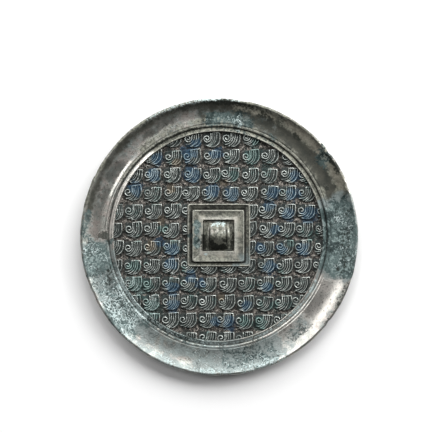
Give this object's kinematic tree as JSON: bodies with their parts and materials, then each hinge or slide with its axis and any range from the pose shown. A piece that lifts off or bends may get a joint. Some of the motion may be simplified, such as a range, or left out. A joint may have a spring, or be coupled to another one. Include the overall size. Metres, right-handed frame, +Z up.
{
  "type": "bronze mirror",
  "caption": "Round cast bronze mirror, decorated back up: wide concave rim, sloping band, field of feather curls, square stepped seat and small three-ribbed cord loop.",
  "frame": {"origin": "centre of the polished face, which is the underside", "axes": "+Z up from the polished face through the loop, +X along the rows of curls and the cord hole, +Y across them, towards the straight tops of the curls"},
  "size_m": [0.12, 0.12, 0.0062],
  "materials": {
    "bronze": "dark grey tin bronze, smooth and softly glossy on the rim, with green and blue corrosion"
  },
  "bodies": {
    "root": {"mirror": "bronze"}
  },
  "joints": []
}
